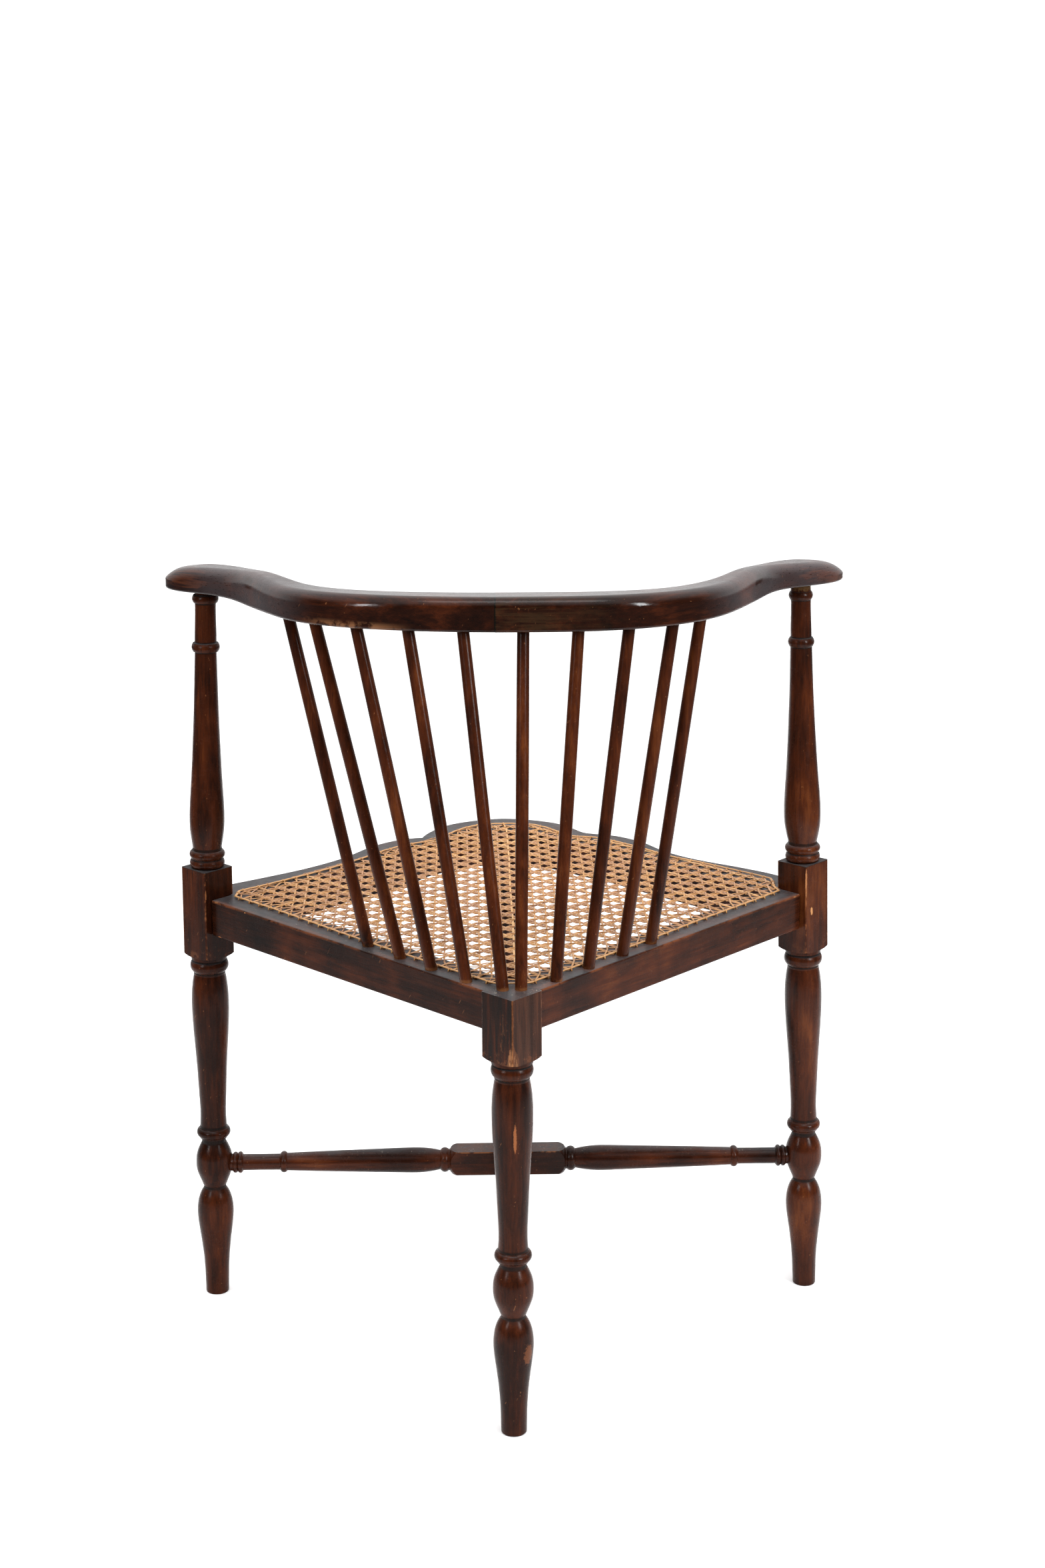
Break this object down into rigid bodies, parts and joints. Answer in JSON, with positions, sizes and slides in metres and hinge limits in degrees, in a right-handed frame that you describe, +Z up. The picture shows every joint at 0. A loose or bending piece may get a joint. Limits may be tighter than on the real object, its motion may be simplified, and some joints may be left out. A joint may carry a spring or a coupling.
{
  "type": "corner chair",
  "caption": "Corner chair with turned legs at the corners of a diamond cane seat, a bowed arm rail on slim round spindles and crossed turned stretchers",
  "frame": {"origin": "on the floor, under the middle of the chair's bounding box, 29 mm behind the line through the two side posts", "axes": "+Z up, -Y the way the sitter faces (the front leg is at -Y and the back leg at +Y), +X the sitter's left"},
  "size_m": [0.694, 0.6164, 0.8035],
  "materials": {
    "leg_wood": "dark mahogany stain, worn satin gloss",
    "rail_wood": "dark mahogany stain, satin, dusty on top",
    "stretcher_wood": "dark mahogany stain, rubbed on the block",
    "arm_wood": "dark mahogany stain, hazy satin gloss, worn lower edge",
    "spindle_wood": "dark mahogany stain, satin gloss",
    "cane": "natural cane, aged honey tan, semi-gloss",
    "binding": "natural cane strand, semi-gloss",
    "dowel_wood": "bare hardwood"
  },
  "bodies": {
    "root": {"back_leg": "leg_wood", "front_leg": "leg_wood", "left_post": "leg_wood", "right_post": "leg_wood", "back_left_rail": "rail_wood", "back_right_rail": "rail_wood", "front_left_rail": "rail_wood", "front_right_rail": "rail_wood", "cross_stretcher": "stretcher_wood", "fore_aft_stretcher": "stretcher_wood", "left_arm": "arm_wood", "right_arm": "arm_wood", "arm_joint_dowels": "dowel_wood", "cane_seat": "cane", "cane_binding": "binding", "spindle_1": "spindle_wood", "spindle_2": "spindle_wood", "spindle_3": "spindle_wood", "spindle_4": "spindle_wood", "spindle_5": "spindle_wood", "spindle_6": "spindle_wood", "spindle_7": "spindle_wood", "spindle_8": "spindle_wood", "spindle_9": "spindle_wood", "spindle_10": "spindle_wood"}
  },
  "joints": []
}
